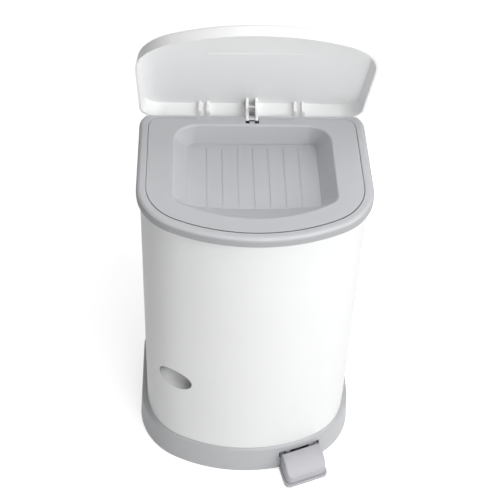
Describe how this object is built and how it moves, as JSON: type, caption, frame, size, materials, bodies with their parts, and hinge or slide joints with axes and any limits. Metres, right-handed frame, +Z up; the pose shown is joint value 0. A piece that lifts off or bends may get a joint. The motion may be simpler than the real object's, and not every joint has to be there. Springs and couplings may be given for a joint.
{
  "type": "pedal nappy bin",
  "caption": "Tall D-plan nappy bin in white and grey plastic with an open hinged lid, sunken tray, front door, flared base and foot pedal.",
  "frame": {"origin": "on the floor, under the middle of the bounding box of the open bin", "axes": "+Z up, +Y towards the bin's flat back and its lid hinge, +X to the right of a person who stands in front"},
  "size_m": [0.316, 0.2992, 0.6846],
  "materials": {
    "white_plastic": "smooth satin white plastic",
    "grey_plastic": "smooth satin light grey plastic",
    "pedal_plastic": "satin light grey plastic with a faint lilac cast",
    "inner_plastic": "plain grey plastic",
    "cassette_plastic": "plain pale plastic",
    "film": "gathered thin liner film",
    "rubber": "soft grey rubber",
    "steel": "plain steel"
  },
  "bodies": {
    "body": {"base": "grey_plastic", "bottom_plate": "grey_plastic", "rubber_feet": "rubber", "plate_screws": "steel", "rear_shell": "white_plastic", "base_screws": "steel", "ring_screws": "steel", "top_ring": "grey_plastic", "panel_seal": "rubber", "lid_hinge_pins": "steel", "rod_guides": "inner_plastic", "door_pins": "steel", "door_catch": "inner_plastic", "cassette_holder": "inner_plastic", "holder_screws": "steel", "liner_cassette": "cassette_plastic", "film_pack": "film", "pedal_pin": "steel"},
    "inner_panel": {"inner_panel": "grey_plastic", "trap_pin": "steel", "trap_spring": "steel"},
    "trap": {"trap_flap": "grey_plastic"},
    "lid": {"lid": "white_plastic", "drive_pin": "steel"},
    "door": {"door": "white_plastic"},
    "pedal": {"pedal": "pedal_plastic", "pedal_lever": "steel", "pedal_screws": "steel"},
    "push_rod": {"push_rod": "steel", "rod_shoe": "inner_plastic"}
  },
  "joints": [
    {"name": "panel_hinge", "type": "hinge", "parent": "body", "child": "inner_panel", "pos_m": [0, 0.11917, 0.4662], "axis": [1, 0, 0], "range_deg": [-25, 0]},
    {"name": "lid_hinge", "type": "hinge", "parent": "inner_panel", "child": "lid", "pos_m": [0, 0.11917, 0.4662], "axis": [1, 0, 0], "range_deg": [0, 60]},
    {"name": "trap_hinge", "type": "hinge", "parent": "inner_panel", "child": "trap", "pos_m": [0, 0.09747, 0.4395], "axis": [1, 0, 0], "range_deg": [0, 75], "stiffness_Nm_per_rad": 0.06, "springref_deg": -85.94},
    {"name": "door_hinge", "type": "hinge", "parent": "body", "child": "door", "pos_m": [0.1465, 0.02647, 0.25], "axis": [0, 0, 1], "range_deg": [0, 95]},
    {"name": "pedal_press", "type": "hinge", "parent": "body", "child": "pedal", "pos_m": [0.05489, -0.03742, 0.026], "axis": [-0.9373, -0.3486, 0], "range_deg": [0, 3.88]},
    {"name": "rod_slide", "type": "slide", "parent": "body", "child": "push_rod", "axis": [0, 0, 1], "range_m": [-0.01049, 0]}
  ],
  "couplings": [
    {"joint": "pedal_press", "follows": "lid_hinge", "ratio": 0.062948},
    {"joint": "rod_slide", "follows": "lid_hinge", "m_per_rad": -0.0099239}
  ]
}
